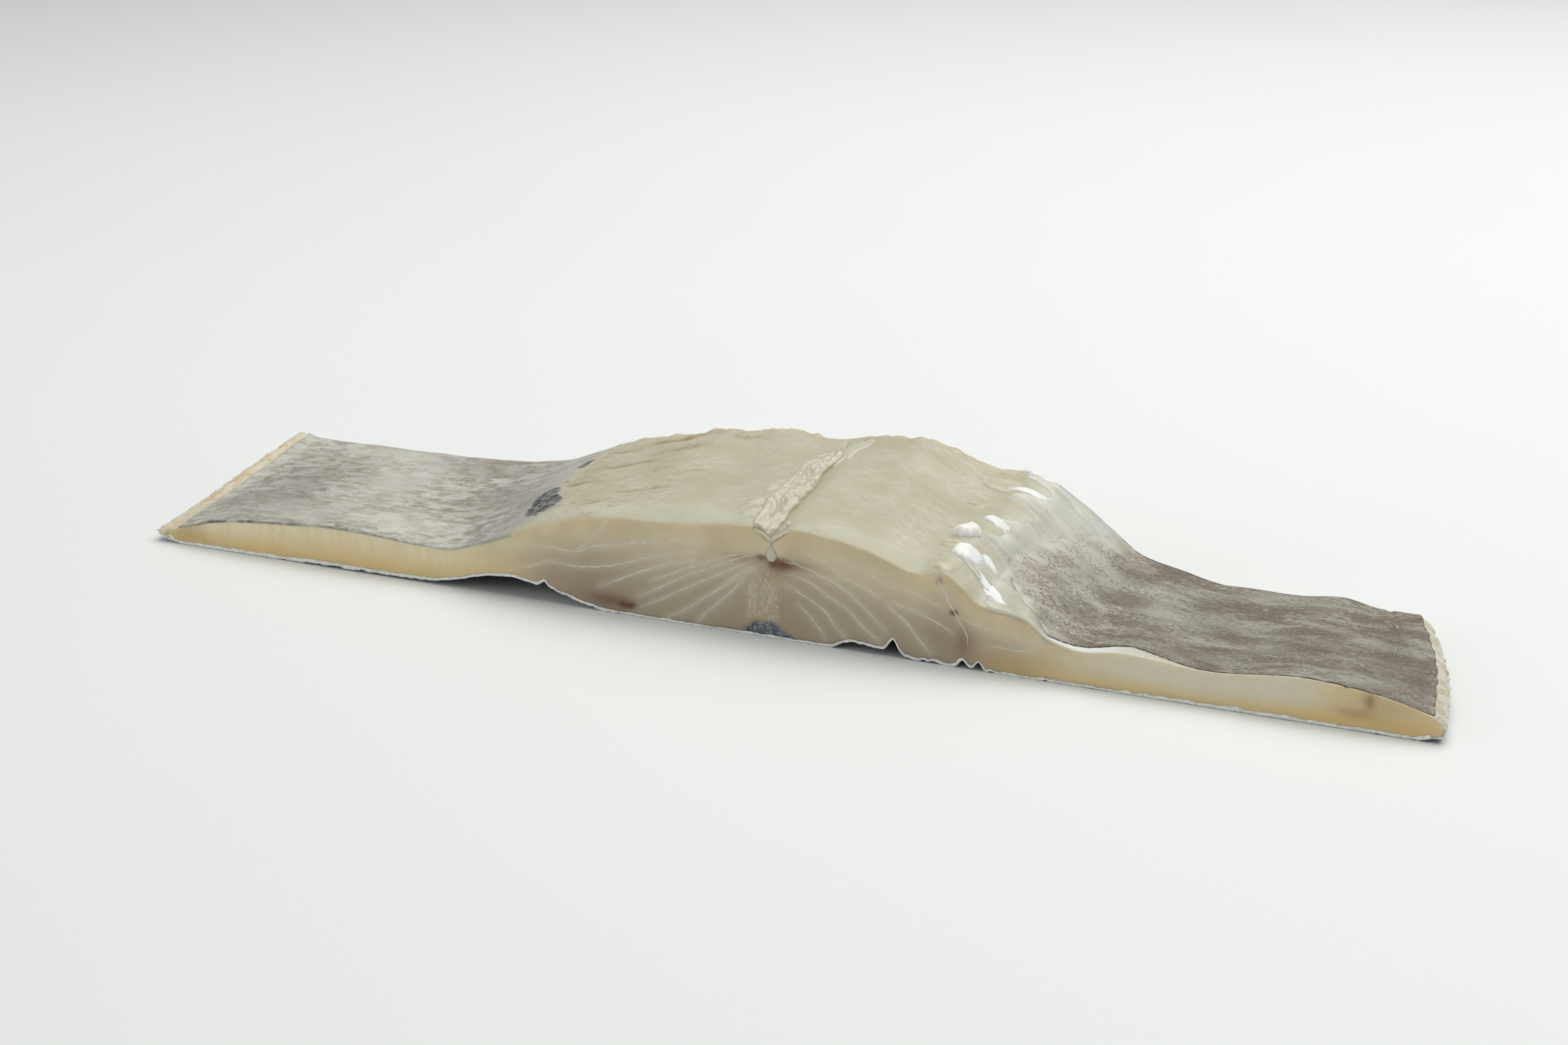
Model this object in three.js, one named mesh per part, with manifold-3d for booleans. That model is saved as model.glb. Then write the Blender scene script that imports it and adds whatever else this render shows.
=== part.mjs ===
// A crosswise piece of split, salted and dried cod, lying skin side down.
// Millimetres, +Z up. +X runs along the piece towards the thin end of the right flap,
// +Y from the front cut to the back cut. The origin is the bottom centre of the bounding box.
//
// Every surface is a function of two numbers: the station, which is the distance along the
// front cut from the fish's midline, and the share, 0 at the front cut and 1 at the back cut.
import * as THREE from 'three';
import { mergeVertices } from 'three/addons/utils/BufferGeometryUtils.js';
import Module from 'manifold-3d';

// Driving dimensions
const LEFT_STATION = -247;
const RIGHT_STATION = 219;
const DEPTH_LEFT = 95;
const DEPTH_RIGHT = 90;
const SKIN_THICKNESS = 1.2;
const LINING_THICKNESS = 0.7;
const GAP = 0.4;
const LEFT_RIM_WIDTH = 5;
const RIGHT_RIM_WIDTH = 3.5;
const RIM_FADE = 14;
const END_BULGE = 3;
const EDGE_ROUNDING_LENGTH = 6;
const RIDGE_HEIGHT = 4.2;
const RIDGE_HALF_WIDTH = 5.5;
const RIDGE_EDGE_THICKNESS = 0.8;
const FIBRE_RELIEF = 0.5;

// Outlines, as [station, height] unless the name says otherwise
const FRONT_TOP = curveThrough([
  [-247, 5.5], [-238, 7.5], [-225, 11], [-195, 14], [-172, 15.3], [-128, 13.9], [-108, 19.3],
  [-94, 25.2], [-82, 29.3], [-64, 33], [-39, 34.2], [-7, 37.2], [0, 33.6], [8, 37.9], [23, 36.6],
  [36, 34], [52, 29.2], [60, 31], [67, 27], [74, 21.6], [87, 20.3], [98, 13.9], [108, 11.8],
  [122, 13.3], [149, 11.6], [180, 14.3], [200, 12.8], [219, 8.6],
]);
const BACK_TOP = curveThrough([
  [-260, 16], [-253, 18.6], [-245, 16.8], [-190, 17.3], [-161, 18.1], [-131, 21.6], [-117, 26.7],
  [-100, 33.4], [-82, 37.8], [-57, 42.6], [-33, 44.3], [-20, 43.4], [5, 47.4], [18, 47.2],
  [31, 44.2], [46, 40], [56, 39.8], [66, 37.3], [77, 31.1], [86, 24.5], [98, 16.1], [108, 13.4],
  [131, 9.4], [154, 9.6], [167, 10.9], [183, 8.7], [197, 8.8],
]);
const FRONT_UNDERSIDE = curveThrough([
  [-247, 2.6], [-241, 0.2], [-220, 0.2], [-173, 2.4], [-134, 2.4], [-103, 7.2], [-89, 6],
  [-61, 0], [20, 0], [30, 3], [42, 1.8], [53, 0], [190, 0], [210, 2], [219, 4],
]);
const BACK_UNDERSIDE = curveThrough([
  [-247, 8.5], [-235, 5], [-215, 3.6], [-150, 4.5], [-118, 6], [-90, 2.5], [-70, 0],
  [185, 0], [205, 1], [219, 3],
]);
// How far a station line leans along the piece between the front cut and the back cut
const LEAN = curveThrough([
  [-247, -8], [-200, -10], [-126, -19], [-90, -16], [-68, -4], [-30, -8], [0, -11],
  [30, -8], [62, 0], [100, 1], [135, -7], [180, -16], [219, -24],
]);
// How much the top swells above a straight line from the front edge to the back edge
const CROWN = curveThrough([[-247, 0], [-128, 0.6], [-90, 2.4], [0, 2.6], [60, 2.2], [95, 0.6], [219, 0]]);
// Where each belly lining meets the loin, as [share, station]
const LEFT_LINING_INNER = curveThrough([[0, -99], [0.05, -90], [0.2, -85], [0.33, -89], [0.54, -93], [1, -92]]);
const RIGHT_LINING_INNER = curveThrough([[0, 96], [0.1, 83], [0.25, 72], [0.4, 69], [0.6, 74], [1, 87]]);
// How far the right lining is torn back from the front cut, as [station, distance]
const RIGHT_LINING_TEAR = curveThrough([[69, 1], [94, 1.7], [110, 4.2], [123, 7], [132, 4.5], [146, 1], [219, 0.5]]);

// Wrinkles where the drying skin has buckled: station, height, half width, run back from the cut
const SKIN_FOLDS = [
  { station: -86.5, height: 1.6, halfWidth: 1.5, run: 30 },
  { station: 44, height: 4.4, halfWidth: 2.2, run: 34 },
  { station: 58, height: 0.9, halfWidth: 2.5, run: 20 },
  { station: 68, height: 2.6, halfWidth: 2, run: 28 },
  { station: 74, height: 2.4, halfWidth: 1.5, run: 22 },
];

// Shreds of white connective tissue on the right shoulder: station and distance from the front
// cut, then length, width and height above the flesh, and the heading of the length in degrees
const TISSUE_SHREDS = [
  { station: 55.5, back: 34.5, length: 9.5, width: 8, height: 2.6, heading: 10 },
  { station: 61, back: 45, length: 7, width: 6, height: 2, heading: -20 },
  { station: 61, back: 18, length: 10, width: 8, height: 1.6, heading: 15 },
  { station: 69, back: 10, length: 20, width: 6, height: 1.3, heading: -32 },
  { station: 58, back: 56, length: 18, width: 8, height: 1.2, heading: -8 },
  { station: 61, back: 70, length: 22, width: 9, height: 1.4, heading: 4 },
  { station: 66, back: 83, length: 24, width: 9, height: 1.2, heading: -6 },
];
const TISSUE_SUNK = 1.5;

// Columns of the mesh between the left end and the right end: each zone ends at a station, which
// may depend on the share so that a column follows a lining's edge
const LINING_OUTER_LEFT = -241;
const LINING_OUTER_RIGHT = 217.5;
const COLUMN_ZONES = [
  { end: () => LINING_OUTER_LEFT, columns: 1 },
  { end: () => -225, columns: 3 },
  { end: () => -128, columns: 12 },
  { end: LEFT_LINING_INNER, columns: 9 },
  { end: () => -70, columns: 8 },
  { end: () => -14, columns: 8 },
  { end: () => 12, columns: 12 },
  { end: () => 38, columns: 4 },
  { end: RIGHT_LINING_INNER, columns: 22 },
  { end: () => 118, columns: 7 },
  { end: () => 200, columns: 10 },
  { end: () => LINING_OUTER_RIGHT, columns: 3 },
  { end: () => RIGHT_STATION, columns: 1 },
];
const LEFT_LINING_COLUMNS = [1, 25];
const RIGHT_LINING_COLUMNS = [79, 99];
const COLUMNS = 100;
// Rows of the mesh from the front cut to the back cut; on the right flap the second row follows
// the torn edge of the lining
const ROW_SHARES = [0, 0.02, 0.08, 0.19, 0.33, 0.5, 0.67, 0.83, 0.95, 1];
const ROWS = 9;
const FLESH_LAYERS = 3;
const RIDGE_COLUMNS = 24;
const RIDGE_ROWS = 6;

// A smooth curve through points that never overshoots them, as a function of the first number
function curveThrough(points) {
  const last = points.length - 1;
  const span = (i) => points[i + 1][0] - points[i][0];
  const rise = (i) => (points[i + 1][1] - points[i][1]) / span(i);
  const slope = points.map((point, i) => {
    if (i === 0) return rise(0);
    if (i === last) return rise(last - 1);
    const product = rise(i - 1) * rise(i);
    return product <= 0 ? 0 : (2 * product) / (rise(i - 1) + rise(i));
  });
  return (value) => {
    const at = THREE.MathUtils.clamp(value, points[0][0], points[last][0]);
    let i = 0;
    while (i < last - 1 && at > points[i + 1][0]) i += 1;
    const k = (at - points[i][0]) / span(i);
    const start = points[i][1] * (1 + 2 * k) + span(i) * slope[i] * k;
    const end = points[i + 1][1] * (3 - 2 * k) - span(i) * slope[i + 1] * (1 - k);
    return start * (1 - k) ** 2 + end * k ** 2;
  };
}

const { lerp, smoothstep, degToRad } = THREE.MathUtils;

function depthAt(station) {
  return lerp(DEPTH_LEFT, DEPTH_RIGHT, (station - LEFT_STATION) / (RIGHT_STATION - LEFT_STATION));
}

// Distance from the front cut to the back cut, and position along the piece, of a station line
function planPoint(station, share) {
  const endBulge = END_BULGE * Math.sin(Math.PI * share) * smoothstep(station, RIGHT_STATION - 46, RIGHT_STATION);
  return { x: station + LEAN(station) * share + endBulge, y: share * depthAt(station) };
}

// Low humps that run lengthwise over the loins, as dried muscle fibres do
function fibreRelief(station, share) {
  const onLoin = smoothstep(station, -95, -75) * (1 - smoothstep(station, 60, 80));
  const besideRidge = smoothstep(Math.abs(station), 8, 20);
  const behindCut = smoothstep(share, 0, 0.1);
  const waves = Math.sin(station / 7 + 5 * share) + Math.sin(station / 12 - 8 * share);
  return FIBRE_RELIEF * onLoin * besideRidge * behindCut * waves;
}

// The upper surface, linings included
function topHeight(station, share) {
  const { x, y } = planPoint(station, share);
  const straight = lerp(FRONT_TOP(station), BACK_TOP(x), share);
  const swell = CROWN(station) * (1 - Math.exp(-y / EDGE_ROUNDING_LENGTH)) * (1 - share);
  return straight + swell + fibreRelief(station, share);
}

// The outside of the skin
function undersideHeight(station, share) {
  const back = share * depthAt(station);
  let height = lerp(FRONT_UNDERSIDE(station), BACK_UNDERSIDE(station), smoothstep(share, 0, 1));
  for (const fold of SKIN_FOLDS) {
    const across = (station - fold.station) / fold.halfWidth;
    const along = back / fold.run;
    height += fold.height * Math.exp(-(across ** 2) - along ** 2);
  }
  return height;
}

// How far the torn rim of each end stands out past the top surface's edge; level is 0 at the
// bottom of the rim and 1 at its top
function rimReach(station, level) {
  const profile = level < 0.34 ? lerp(0.85, 1, level / 0.34) : Math.cos((Math.PI / 2) * (level - 0.34) / 0.66);
  const left = smoothstep(LEFT_STATION + RIM_FADE - station, 0, RIM_FADE);
  const right = smoothstep(station, RIGHT_STATION - RIM_FADE, RIGHT_STATION);
  return profile * (RIGHT_RIM_WIDTH * right - LEFT_RIM_WIDTH * left);
}

function stationOfColumn(column, share) {
  let left = column;
  let start = LEFT_STATION;
  for (const zone of COLUMN_ZONES) {
    const end = zone.end(share);
    if (left <= zone.columns) return lerp(start, end, left / zone.columns);
    left -= zone.columns;
    start = end;
  }
  return RIGHT_STATION;
}

function shareOfRow(row, column) {
  if (row !== 1 || column < RIGHT_LINING_COLUMNS[0]) return ROW_SHARES[row];
  const station = stationOfColumn(column, 0);
  return RIGHT_LINING_TEAR(station) / depthAt(station);
}

function gridPoint(column, row) {
  const share = shareOfRow(row, column);
  return { station: stationOfColumn(column, share), share };
}

// A lining's thickness where one covers the flesh, and nothing elsewhere
function liningStep(column, row) {
  const onLeft = column >= LEFT_LINING_COLUMNS[0] && column <= LEFT_LINING_COLUMNS[1];
  const onRight = column >= RIGHT_LINING_COLUMNS[0] && column <= RIGHT_LINING_COLUMNS[1] && row > 0;
  return onLeft || onRight ? LINING_THICKNESS + GAP : 0;
}

// A block cut into columns, rows and layers, with each corner moved to place(u, v, w). Its upper
// and lower faces are split into triangles alike, so that stacked sheets keep an even gap.
function slab(columns, rows, layers, place) {
  const geometry = new THREE.BoxGeometry(1, 1, 1, columns, rows, layers);
  const position = geometry.attributes.position;
  const share = (value, count) => Math.round((value + 0.5) * count) / count;
  for (let i = 0; i < position.count; i += 1) {
    const u = share(position.getX(i), columns);
    const v = share(position.getY(i), rows);
    const w = share(position.getZ(i), layers);
    const point = place(u, v, w);
    position.setXYZ(i, point.x, point.y, point.z);
  }
  const lowerFace = geometry.groups[5];
  const corners = geometry.index.array;
  for (let i = lowerFace.start; i < lowerFace.start + lowerFace.count; i += 6) {
    const [a, b, d, , c] = corners.slice(i, i + 6);
    corners.set([a, b, c, a, c, d], i);
  }
  geometry.deleteAttribute('uv');
  geometry.deleteAttribute('normal');
  return mergeVertices(geometry, 1e-4);
}

function fleshGeometry() {
  return slab(COLUMNS, ROWS, FLESH_LAYERS, (u, v, w) => {
    const column = Math.round(u * COLUMNS);
    const row = Math.round(v * ROWS);
    const { station, share } = gridPoint(column, row);
    const plan = planPoint(station, share);
    const bottom = undersideHeight(station, share) + SKIN_THICKNESS + GAP;
    return {
      x: plan.x + rimReach(station, w),
      y: plan.y,
      z: lerp(bottom, topHeight(station, share) - liningStep(column, row), w),
    };
  });
}

function skinGeometry() {
  return slab(COLUMNS, ROWS, 1, (u, v, w) => {
    const { station, share } = gridPoint(Math.round(u * COLUMNS), Math.round(v * ROWS));
    const plan = planPoint(station, share);
    return {
      x: plan.x + rimReach(station, 0),
      y: plan.y,
      z: undersideHeight(station, share) + SKIN_THICKNESS * w,
    };
  });
}

// A lining shares the flesh's columns and rows
function liningGeometry([firstColumn, lastColumn], firstRow) {
  const columns = lastColumn - firstColumn;
  const rows = ROWS - firstRow;
  return slab(columns, rows, 1, (u, v, w) => {
    const column = firstColumn + Math.round(u * columns);
    const { station, share } = gridPoint(column, firstRow + Math.round(v * rows));
    const plan = planPoint(station, share);
    return {
      x: plan.x + rimReach(station, 1),
      y: plan.y,
      z: topHeight(station, share) - LINING_THICKNESS * (1 - w),
    };
  });
}

// The shreds of membrane and bone left along the midline: a lumpy ridge in the valley
function ridgeGeometry() {
  return slab(RIDGE_COLUMNS, RIDGE_ROWS, 2, (u, v, w) => {
    const share = lerp(0.03, 0.95, u);
    const across = 2 * v - 1;
    const centre = lerp(-3.5, -1, share) + 0.8 * Math.sin(19 * share);
    const narrowing = lerp(1, 0.72, share) * Math.sqrt(Math.sin(Math.PI * lerp(0.07, 0.97, u)));
    const station = centre - RIDGE_HALF_WIDTH * narrowing * across;
    const bottom = topHeight(station, share) + GAP;
    const lumps = 1 + 0.16 * Math.sin(31 * share + 2 * across) + 0.1 * Math.sin(67 * share);
    const crest = RIDGE_HEIGHT * narrowing * lumps * Math.sqrt(Math.max(0, 1 - across ** 2));
    const plan = planPoint(station, share);
    return { x: plan.x, y: plan.y, z: bottom + w * (RIDGE_EDGE_THICKNESS + crest) };
  });
}

function shredGeometry(shred) {
  const geometry = new THREE.SphereGeometry(1, 10, 7);
  const share = shred.back / depthAt(shred.station);
  const plan = planPoint(shred.station, share);
  const seat = topHeight(shred.station, share);
  const probe = 0.35 * shred.length;
  const heading = degToRad(shred.heading);
  const ahead = topHeight(shred.station + probe * Math.cos(heading),
    (shred.back + probe * Math.sin(heading)) / depthAt(shred.station));
  geometry.scale(shred.length / 2, shred.width / 2, shred.height + TISSUE_SUNK);
  geometry.rotateY(-Math.atan2(ahead - seat, probe));
  geometry.rotateZ(heading);
  geometry.translate(plan.x, plan.y, seat - TISSUE_SUNK);
  geometry.deleteAttribute('uv');
  geometry.deleteAttribute('normal');
  return mergeVertices(geometry, 1e-4);
}

const wasm = await Module();
wasm.setup();

function toSolid(geometry) {
  const vertProperties = new Float32Array(geometry.attributes.position.array);
  const triVerts = new Uint32Array(geometry.index.array);
  return new wasm.Manifold(new wasm.Mesh({ numProp: 3, vertProperties, triVerts }));
}

function toGeometry(solid) {
  const mesh = solid.getMesh();
  const geometry = new THREE.BufferGeometry();
  geometry.setAttribute('position', new THREE.BufferAttribute(new Float32Array(mesh.vertProperties), 3));
  geometry.setIndex(new THREE.BufferAttribute(new Uint32Array(mesh.triVerts), 1));
  return geometry;
}

function fleshWithShreds() {
  let solid = toSolid(fleshGeometry());
  for (const shred of TISSUE_SHREDS) {
    solid = solid.add(toSolid(shredGeometry(shred)));
  }
  return toGeometry(solid);
}

function addPart(group, name, geometry, color, roughness) {
  geometry.computeVertexNormals();
  const material = new THREE.MeshStandardMaterial({ color, roughness, metalness: 0 });
  const mesh = new THREE.Mesh(geometry, material);
  mesh.name = name;
  group.add(mesh);
}

const cod = new THREE.Group();
addPart(cod, 'flesh', fleshWithShreds(), '#c3b892', 0.45);
addPart(cod, 'skin', skinGeometry(), '#8d8f8c', 0.55);
addPart(cod, 'lining_left', liningGeometry(LEFT_LINING_COLUMNS, 0), '#aaa59a', 0.6);
addPart(cod, 'lining_right', liningGeometry(RIGHT_LINING_COLUMNS, 1), '#958f84', 0.6);
addPart(cod, 'backbone_ridge', ridgeGeometry(), '#d6cbb0', 0.5);

const box = new THREE.Box3().setFromObject(cod);
const centre = box.getCenter(new THREE.Vector3());
cod.position.set(-centre.x, -centre.y, -box.min.z);

export default cod;
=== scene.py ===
# The looks of a crosswise piece of split, salted and dried cod, on a pale studio floor.
# Shapes are worked out in millimetres from the same outlines as the solids and then put in metres.
# A place on the piece is a station, the distance along the front cut from the fish's midline, and
# a share, 0 at the front cut and 1 at the back cut, or back, the distance from the front cut.
import math

import bmesh
import bpy
import numpy as np
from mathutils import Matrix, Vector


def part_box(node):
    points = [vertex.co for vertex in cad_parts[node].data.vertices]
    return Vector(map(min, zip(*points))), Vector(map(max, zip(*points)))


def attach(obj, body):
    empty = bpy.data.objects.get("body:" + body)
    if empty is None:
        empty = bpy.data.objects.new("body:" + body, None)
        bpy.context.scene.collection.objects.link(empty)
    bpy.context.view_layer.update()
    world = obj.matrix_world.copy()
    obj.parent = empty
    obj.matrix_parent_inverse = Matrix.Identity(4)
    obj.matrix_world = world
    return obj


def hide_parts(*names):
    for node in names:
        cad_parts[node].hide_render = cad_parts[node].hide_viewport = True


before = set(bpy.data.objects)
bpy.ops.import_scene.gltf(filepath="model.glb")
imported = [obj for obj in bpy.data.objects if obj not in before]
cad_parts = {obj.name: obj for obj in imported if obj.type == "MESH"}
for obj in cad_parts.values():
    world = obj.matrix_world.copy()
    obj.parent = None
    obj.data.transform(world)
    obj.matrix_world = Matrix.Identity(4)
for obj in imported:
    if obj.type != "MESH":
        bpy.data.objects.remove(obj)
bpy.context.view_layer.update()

MM = 0.001

# ---- dimensions shared with the solids
LEFT_STATION = -247
RIGHT_STATION = 219
DEPTH_LEFT = 95
DEPTH_RIGHT = 90
SKIN_THICKNESS = 1.2
LEFT_RIM_WIDTH = 5
RIGHT_RIM_WIDTH = 3.5
RIM_FADE = 14
RIM_WIDEST = 0.34
END_BULGE = 3
EDGE_ROUNDING_LENGTH = 6
RIDGE_HEIGHT = 4.2
RIDGE_HALF_WIDTH = 5.5
FIBRE_RELIEF = 0.5
LINING_OUTER_LEFT = -241
LINING_OUTER_RIGHT = 217.5

# ---- dimensions of the fine finish
LINING_BED = 0.55
LINING_LIFT = 0.05
LINING_SUNK = 0.15
LINING_TAPER = 4
LINING_EDGE_DROP = 0.3
LINING_LEFT_LIMIT = -243.5
LINING_RIGHT_LIMIT = 218.9
RIDGE_BED = 0.5
RIDGE_START_SHARE = 0.004
RIDGE_END_SHARE = 0.95
CUT_EDGE_RADIUS = 0.9
SKIN_SUNK = 0.15
SKIN_EDGE_THICKNESS = 0.8
LEFT_DROOP = 1.4
RIGHT_DROOP = 2.2
DROOP_REACH = 40
DROOP_CLEARANCE = 0.15


def curve_through(points):
    """A smooth curve through points that never overshoots them, as a function of the first number."""
    x, y = np.array(points, float).T
    span = np.diff(x)
    rise = np.diff(y) / span
    product = rise[:-1] * rise[1:]
    total = np.where(product > 0, rise[:-1] + rise[1:], 1)
    inner_slope = np.where(product > 0, 2 * product / total, 0)
    slope = np.concatenate([rise[:1], inner_slope, rise[-1:]])

    def curve(value):
        at = np.clip(value, x[0], x[-1])
        i = np.clip(np.searchsorted(x, at, side="right") - 1, 0, len(span) - 1)
        k = (at - x[i]) / span[i]
        start = y[i] * (1 + 2 * k) + span[i] * slope[i] * k
        end = y[i + 1] * (3 - 2 * k) - span[i] * slope[i + 1] * (1 - k)
        return start * (1 - k) ** 2 + end * k**2

    return curve


FRONT_TOP = curve_through([
    [-247, 5.5], [-238, 7.5], [-225, 11], [-195, 14], [-172, 15.3], [-128, 13.9], [-108, 19.3],
    [-94, 25.2], [-82, 29.3], [-64, 33], [-39, 34.2], [-7, 37.2], [0, 33.6], [8, 37.9], [23, 36.6],
    [36, 34], [52, 29.2], [60, 31], [67, 27], [74, 21.6], [87, 20.3], [98, 13.9], [108, 11.8],
    [122, 13.3], [149, 11.6], [180, 14.3], [200, 12.8], [219, 8.6],
])
BACK_TOP = curve_through([
    [-260, 16], [-253, 18.6], [-245, 16.8], [-190, 17.3], [-161, 18.1], [-131, 21.6], [-117, 26.7],
    [-100, 33.4], [-82, 37.8], [-57, 42.6], [-33, 44.3], [-20, 43.4], [5, 47.4], [18, 47.2],
    [31, 44.2], [46, 40], [56, 39.8], [66, 37.3], [77, 31.1], [86, 24.5], [98, 16.1], [108, 13.4],
    [131, 9.4], [154, 9.6], [167, 10.9], [183, 8.7], [197, 8.8],
])
FRONT_UNDERSIDE = curve_through([
    [-247, 2.6], [-241, 0.2], [-220, 0.2], [-173, 2.4], [-134, 2.4], [-103, 7.2], [-89, 6],
    [-61, 0], [20, 0], [30, 3], [42, 1.8], [53, 0], [190, 0], [210, 2], [219, 4],
])
BACK_UNDERSIDE = curve_through([
    [-247, 8.5], [-235, 5], [-215, 3.6], [-150, 4.5], [-118, 6], [-90, 2.5], [-70, 0],
    [185, 0], [205, 1], [219, 3],
])
LEAN = curve_through([
    [-247, -8], [-200, -10], [-126, -19], [-90, -16], [-68, -4], [-30, -8], [0, -11],
    [30, -8], [62, 0], [100, 1], [135, -7], [180, -16], [219, -24],
])
CROWN = curve_through([[-247, 0], [-128, 0.6], [-90, 2.4], [0, 2.6], [60, 2.2], [95, 0.6], [219, 0]])
LEFT_LINING_INNER = curve_through([
    [0, -99], [0.05, -90], [0.2, -85], [0.33, -89], [0.54, -93], [1, -92],
])
RIGHT_LINING_INNER = curve_through([[0, 96], [0.1, 83], [0.25, 72], [0.4, 69], [0.6, 74], [1, 87]])
RIGHT_LINING_TEAR = curve_through([
    [69, 1], [94, 1.7], [110, 4.2], [123, 7], [132, 4.5], [146, 1], [219, 0.5],
])
SKIN_FOLDS = [  # station, height, half width, run back from the cut
    (-86.5, 1.6, 1.5, 30), (44, 4.4, 2.2, 34), (58, 0.9, 2.5, 20), (68, 2.6, 2, 28), (74, 2.4, 1.5, 22),
]


# ---- small mathematics
def lerp(a, b, k):
    return a + (b - a) * k


def ramp(value, low, high):
    """0 at low and 1 at high, smoothly between them. Either may be the larger."""
    k = np.clip((value - low) / (high - low), 0, 1)
    return k * k * (3 - 2 * k)


def corner_value(column, row, seed):
    """A repeatable number between -1 and 1 for each corner of an endless grid."""
    mixed = (column * 374761393 + row * 668265263 + seed * 362437) & 0xFFFFFFFF
    mixed = ((mixed ^ (mixed >> 13)) * 127412617) & 0xFFFFFFFF
    return (mixed ^ (mixed >> 16)) % 65536 / 32767.5 - 1


def noise(u, v, seed):
    """Smooth noise between -1 and 1, with one bump to each unit of u and v."""
    u, v = np.broadcast_arrays(np.asarray(u, float), np.asarray(v, float))
    column, row = np.floor(u), np.floor(v)
    a, b = (k**3 * (k * (k * 6 - 15) + 10) for k in (u - column, v - row))
    column, row = column.astype(np.int64), row.astype(np.int64)
    near = lerp(corner_value(column, row, seed), corner_value(column + 1, row, seed), a)
    far = lerp(corner_value(column, row + 1, seed), corner_value(column + 1, row + 1, seed), a)
    return lerp(near, far, b)


def rough_noise(u, v, seed, octaves=3):
    return sum(noise(u * 2**k, v * 2**k, seed + k) / 2**k for k in range(octaves))


def hump(value, centre, reach):
    """A soft mask, 1 at its centre, that has mostly faded at its reach and beyond."""
    return np.exp(-(((value - centre) / reach) ** 2))


def spot(a, b, centre_a, centre_b, reach_a, reach_b):
    """A soft round mask, 1 at its centre."""
    return hump(a, centre_a, reach_a) * hump(b, centre_b, reach_b)


def spots(a, b, places):
    """Spots added up. Each place: strength, centre in a, centre in b, reach in a, reach in b."""
    return sum(strength * spot(a, b, *place) for strength, *place in places)


# ---- surfaces shared with the solids
def depth_at(station):
    return lerp(DEPTH_LEFT, DEPTH_RIGHT, (station - LEFT_STATION) / (RIGHT_STATION - LEFT_STATION))


def plan_point(station, share):
    at_end = ramp(station, RIGHT_STATION - 46, RIGHT_STATION)
    x = station + LEAN(station) * share + END_BULGE * np.sin(np.pi * share) * at_end
    return x, share * depth_at(station)


def fibre_relief(station, share):
    on_loin = ramp(station, -95, -75) * ramp(station, 80, 60)
    beside_ridge = ramp(np.abs(station), 8, 20)
    waves = np.sin(station / 7 + 5 * share) + np.sin(station / 12 - 8 * share)
    return FIBRE_RELIEF * on_loin * beside_ridge * ramp(share, 0, 0.1) * waves


def solid_top(station, share):
    x, y = plan_point(station, share)
    straight = lerp(FRONT_TOP(station), BACK_TOP(x), share)
    swell = CROWN(station) * (1 - np.exp(-y / EDGE_ROUNDING_LENGTH)) * (1 - share)
    return straight + swell + fibre_relief(station, share)


def solid_underside(station, share):
    back = share * depth_at(station)
    height = lerp(FRONT_UNDERSIDE(station), BACK_UNDERSIDE(station), ramp(share, 0, 1))
    for fold_station, fold_height, half_width, run in SKIN_FOLDS:
        height = height + fold_height * spot(station, back, fold_station, 0, half_width, run)
    return height


def rim_reach(station, level):
    lower = lerp(0.85, 1, level / RIM_WIDEST)
    upper = np.cos(np.pi / 2 * (level - RIM_WIDEST) / (1 - RIM_WIDEST))
    profile = np.where(level < RIM_WIDEST, lower, upper)
    left = ramp(LEFT_STATION + RIM_FADE - station, 0, RIM_FADE)
    right = ramp(station, RIGHT_STATION - RIM_FADE, RIGHT_STATION)
    return profile * (RIGHT_RIM_WIDTH * right - LEFT_RIM_WIDTH * left)


CAD_SIDE_LEVEL = 1 / 3
LEFTMOST = LEFT_STATION + LEAN(LEFT_STATION) + rim_reach(LEFT_STATION, CAD_SIDE_LEVEL)
SHIFT_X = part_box("flesh")[0].x / MM - LEFTMOST
SHIFT_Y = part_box("flesh")[0].y / MM


def to_frame(x, y, z):
    """Points of the plan in the frame, in metres."""
    return np.stack(np.broadcast_arrays(x + SHIFT_X, y + SHIFT_Y, z), -1) * MM


# ---- the fine relief
PITS = [  # station, back, length, width, depth, slant: torn hollows in the left loin
    (-79, 55, 14, 4.4, 1.3, 0.35), (-73, 86, 16, 5, 1.4, 0.2), (-61, 26, 14, 3.4, 1, 0.45),
    (-88, 36, 10, 3.6, 0.9, -0.1), (-66, 70, 13, 4.2, 0.9, 0.3), (-52, 46, 11, 3, 0.6, 0.5),
    (-86, 76, 8, 3.6, 1, -0.2), (-44, 84, 12, 3.2, 0.8, 0.1), (-74, 13, 9, 3, 0.7, 0.6),
]


def grain(station, back):
    """The distance across the fibres, which run back as they near the midline."""
    return back + 0.35 * np.abs(station)


def lining_cover(station, share):
    """1 under a lining and 0 off it, with a soft edge towards the loins."""
    back = share * depth_at(station)
    left = ramp(station, LEFT_LINING_INNER(share), LEFT_LINING_INNER(share) - LINING_TAPER)
    right = ramp(station, RIGHT_LINING_INNER(share), RIGHT_LINING_INNER(share) + LINING_TAPER)
    right = right * ramp(back, RIGHT_LINING_TEAR(station) - 0.4, RIGHT_LINING_TEAR(station) + 0.4)
    return np.maximum(left, right)


def pit_depth(station, back):
    total = 0
    for at, behind, length, width, depth, slant in PITS:
        ragged = 0.25 * width * rough_noise(station / 2.5, back / 2.5, 5, 2)
        across = back + ragged - slant * (station - at)
        total = total + depth * spot(station, across, at, behind, length / 2, width / 2)
    return total


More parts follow.
